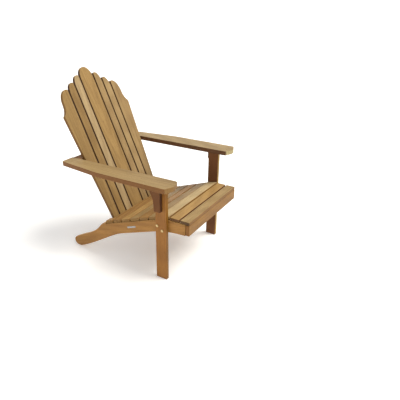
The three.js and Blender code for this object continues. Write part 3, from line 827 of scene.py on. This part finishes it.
@dataclass
class LegBolt:
    """A domed bolt with a hexagonal socket in its head."""

    side: str
    number: int
    rim: float = 0.0010                    # height of the head's straight edge
    socket_radius: float = 0.0034          # across the corners
    socket_depth: float = 0.0022
    mouth_margin: float = 0.0006           # round the socket, level
    mouth_drop: float = 0.0004             # of the socket's edge below the top
    chamfer: float = 0.0003                # round the head's seat
    points: int = 36                       # round the head, a multiple of six
    dome_rings: int = 8
    shank_tip: float = 0.8                 # the tip's radius in the shank's
    smooth_angle: float = math.radians(35.0)
    shank_share: float = 8.0 / 15.0        # shank's diameter in the head's
    head_share: float = 3.6 / 56.3         # head's height in the whole bolt's length

    def ring(self, radius: float, height: float, hexagonal: bool = False) -> list[Vector]:
        """One ring of points round the bolt's axis, which is Z.

        Args:
            radius: The ring's radius, across the corners if it is hexagonal.
            height: Its place along the axis.
            hexagonal: Whether it is a hexagon.

        Returns:
            The points.
        """
        ring = []
        for i in range(self.points):
            turn = math.tau * i / self.points
            reach = radius
            if hexagonal:
                off_flat = (turn % (math.pi / 3.0)) - math.pi / 6.0
                reach = radius * math.cos(math.pi / 6.0) / math.cos(off_flat)
            ring.append(Vector((reach * math.cos(turn), reach * math.sin(turn), height)))
        return ring

    def profile(self, box: Box) -> list[list[Vector]]:
        """The rings of the whole bolt, from the end of its shank to the floor of its socket.

        Args:
            box: The solid's box.

        Returns:
            The rings, in the bolt's own axes, with the head's seat at zero.
        """
        head = (box[1].z - box[0].z) / 2.0
        shank = head * self.shank_share
        length = box[1].x - box[0].x
        height = length * self.head_share
        tip = height - length
        tip_height = shank * (1.0 - self.shank_tip)
        rings = [self.ring(shank * self.shank_tip, tip), self.ring(shank, tip + tip_height)]
        rings += [self.ring(shank, 0.0), self.ring(head - self.chamfer, 0.0)]
        rings.append(self.ring(head, self.chamfer))
        mouth = self.socket_radius + self.mouth_margin
        for i in range(self.dome_rings):
            share = i / self.dome_rings
            radius = head + (mouth - head) * math.sin(share * math.pi / 2.0) ** 2
            rise = math.sin(math.acos(max(0.0, (radius - mouth) / (head - mouth))))
            rings.append(self.ring(radius, self.rim + (height - self.rim) * rise))
        rings.append(self.ring(mouth, height))
        rings.append(self.ring(self.socket_radius, height - self.mouth_drop, hexagonal=True))
        rings.append(self.ring(self.socket_radius, height - self.socket_depth, hexagonal=True))
        return rings

    def build(self, chair: Chair, finish: MetalFinish) -> None:
        """Makes the bolt.

        Args:
            chair: The chair it belongs to.
            finish: Its metal.
        """
        node = f"leg_bolt_{self.side}_{self.number}"
        low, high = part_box(node)
        sign = outward(self.side).x
        solid = bmesh.new()
        rings = [[solid.verts.new(point) for point in ring] for ring in self.profile((low, high))]
        for lower, upper in zip(rings, rings[1:]):
            for i in range(self.points):
                following = (i + 1) % self.points
                solid.faces.new((lower[i], lower[following], upper[following], upper[i]))
        solid.faces.new(list(reversed(rings[0])))
        solid.faces.new(rings[-1])
        bmesh.ops.recalc_face_normals(solid, faces=solid.faces)
        head_height = (high.x - low.x) * self.head_share
        seat = (high.x if sign > 0 else -low.x) - head_height
        centre = Vector((sign * seat, (low.y + high.y) / 2.0, (low.z + high.z) / 2.0))
        axes = Matrix.Translation(centre) @ Matrix.Rotation(sign * math.pi / 2.0, 4, "Y")
        solid.transform(axes)
        mesh = bpy.data.meshes.new(f"{node}_shape")
        solid.to_mesh(mesh)
        solid.free()
        chair.fit(mesh, node, axes, finish, self.smooth_angle)


@dataclass
class Fixings:
    """The bolts of the legs with their washers and nuts, and the blank plate."""

    washer_ease: float = 0.0003
    nut_ease: float = 0.0006
    plate_ease: float = 0.0003
    bore_reach: float = 0.0046             # radius round a bolt in which nothing is eased
    brass: MetalFinish = MetalFinish(Metal.BRASS)
    steel: MetalFinish = MetalFinish(Metal.STEEL, (0.3, 0.5), (900.0, 30.0, 30.0))

    def build(self, chair: Chair) -> None:
        """Makes every fixing.

        Args:
            chair: The chair they belong to.
        """
        for side in SIDES:
            for number in BOLTS:
                LegBolt(side, number).build(chair, self.brass)
                joint = [self.bore(side, number)]
                for kind, ease in (("washer", self.washer_ease), ("nut", self.nut_ease)):
                    ring = Shaped(f"leg_{kind}_{side}_{number}", REARWARD, ease, ACROSS, joint)
                    ring.build(chair, self.brass)
        plate = Shaped("blank_plate", REARWARD, self.plate_ease, -ACROSS)
        plate.build(chair, self.steel)

    def bore(self, side: str, number: int) -> Box:
        """The box round a bolt's shank, in which bores stay sharp.

        Args:
            side: The bolt's side of the chair.
            number: Its number on that side.

        Returns:
            The box.
        """
        low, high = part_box(f"leg_bolt_{side}_{number}")
        centre = (low + high) / 2.0
        reach = Vector((high.x - low.x, self.bore_reach, self.bore_reach))
        return centre - reach, centre + reach


# ------------------------------------------------------------------ studio
@dataclass
class Camera:
    """The view: from the sitter's right, in front of the chair and above it."""

    place: tuple[float, float, float] = (-1.7549, -1.2997, 1.3109)
    azimuth: float = math.radians(-61.446)
    elevation: float = math.radians(25.528)
    roll: float = math.radians(1.57)
    lens: float = 37.0                     # millimetres, like the sensor's width
    sensor: float = 36.0

    def build(self) -> None:
        """Makes the camera and looks through it."""
        back = Vector((
            math.sin(self.azimuth) * math.cos(self.elevation),
            -math.cos(self.azimuth) * math.cos(self.elevation),
            math.sin(self.elevation),
        ))
        level = Vector((math.cos(self.azimuth), math.sin(self.azimuth), 0.0))
        upright = back.cross(level)
        right = level * math.cos(self.roll) + upright * math.sin(self.roll)
        up = upright * math.cos(self.roll) - level * math.sin(self.roll)
        data = bpy.data.cameras.new("camera")
        data.lens = self.lens
        data.sensor_width = self.sensor
        camera = bpy.data.objects.new("camera", data)
        camera.matrix_world = (
            Matrix.Translation(self.place) @ Matrix((right, up, back)).transposed().to_4x4())
        bpy.context.scene.collection.objects.link(camera)
        bpy.context.scene.camera = camera


@dataclass(frozen=True)
class SoftBox:
    """A rectangular studio light that points at the chair."""

    name: str
    place: tuple[float, float, float]
    size: tuple[float, float]
    power: float
    colour: Rgb = (255, 255, 255)

    def build(self, target: Vector) -> None:
        """Makes the light.

        Args:
            target: What it points at.
        """
        data = bpy.data.lights.new(self.name, "AREA")
        data.shape = "RECTANGLE"
        data.size, data.size_y = self.size
        data.energy = self.power
        data.color = linear(self.colour)[:3]
        light = bpy.data.objects.new(self.name, data)
        aim = target - Vector(self.place)
        light.matrix_world = (
            Matrix.Translation(self.place) @ aim.to_track_quat("-Z", "Y").to_matrix().to_4x4())
        bpy.context.scene.collection.objects.link(light)


@dataclass(frozen=True)
class WindowLight:
    """A broad, even light from far away, like a large bright window."""

    azimuth: float = math.radians(32.0)    # from straight in front, towards the sitter's left
    elevation: float = math.radians(58.0)
    spread: float = math.radians(34.0)
    power: float = 2.9
    colour: Rgb = (255, 252, 244)

    def build(self) -> None:
        """Makes the light."""
        data = bpy.data.lights.new("window", "SUN")
        data.energy = self.power
        data.angle = self.spread
        data.color = linear(self.colour)[:3]
        light = bpy.data.objects.new("window", data)
        source = Vector((
            math.sin(self.azimuth) * math.cos(self.elevation),
            -math.cos(self.azimuth) * math.cos(self.elevation),
            math.sin(self.elevation),
        ))
        light.matrix_world = source.to_track_quat("Z", "Y").to_matrix().to_4x4()
        bpy.context.scene.collection.objects.link(light)


@dataclass
class Studio:
    """A plain pale floor and backdrop, a white surround and soft lights."""

    floor_radius: float = 30.0
    backdrop_height: float = 4.5           # of the pale wall round the floor's edge
    floor_colour: Rgb = (250, 250, 250)
    floor_roughness: float = 0.9
    floor_glow: float = 0.2                # keeps the shadow on the floor pale
    sides: int = 96                        # facets round the floor
    target: Vector = field(default_factory=lambda: Vector((0.0, 0.0, 0.35)))
    surround: Rgb = (255, 255, 255)
    surround_strength: float = 0.62
    window: WindowLight = WindowLight()
    lights: tuple[SoftBox, ...] = (
        SoftBox("side_fill", (-3.2, -1.6, 0.9), (2.4, 1.6), 6.0, (255, 222, 184)),
    )

    def build(self) -> None:
        """Makes the floor, the backdrop and the lights, and sets plain colour handling."""
        bpy.ops.mesh.primitive_circle_add(
            vertices=self.sides, radius=self.floor_radius, fill_type="NGON")
        floor = bpy.context.object
        floor.name = "floor"
        bench = NodeBench("floor_paint")
        bench.shader.inputs["Base Color"].default_value = linear(self.floor_colour)
        bench.shader.inputs["Roughness"].default_value = self.floor_roughness
        bench.shader.inputs["Specular IOR Level"].default_value = 0.0
        bench.shader.inputs["Emission Color"].default_value = linear(self.floor_colour)
        bench.shader.inputs["Emission Strength"].default_value = self.floor_glow
        bpy.ops.mesh.primitive_cylinder_add(
            vertices=self.sides, radius=self.floor_radius, depth=self.backdrop_height,
            end_fill_type="NOTHING", location=(0.0, 0.0, self.backdrop_height / 2.0))
        backdrop = bpy.context.object
        backdrop.name = "backdrop"
        for surface in (floor, backdrop):
            surface.data.materials.append(bench.material)
        world = bpy.data.worlds.new("surround")
        world.use_nodes = True
        background = world.node_tree.nodes["Background"]
        background.inputs["Color"].default_value = linear(self.surround)
        background.inputs["Strength"].default_value = self.surround_strength
        bpy.context.scene.world = world
        self.window.build()
        for light in self.lights:
            light.build(self.target)
        bpy.context.scene.view_settings.view_transform = "Standard"


def main() -> None:
    logging.basicConfig(level=logging.INFO, format="%(name)s %(message)s")
    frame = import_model()
    chair = Chair(frame)
    Camera().build()
    for assembly in (SideRails(), FrontLegs(), Seat(), Back(), Arms(), Fixings()):
        log.info("building %s", type(assembly).__name__)
        assembly.build(chair)
    Studio().build()


if __name__ == "__main__":
    main()
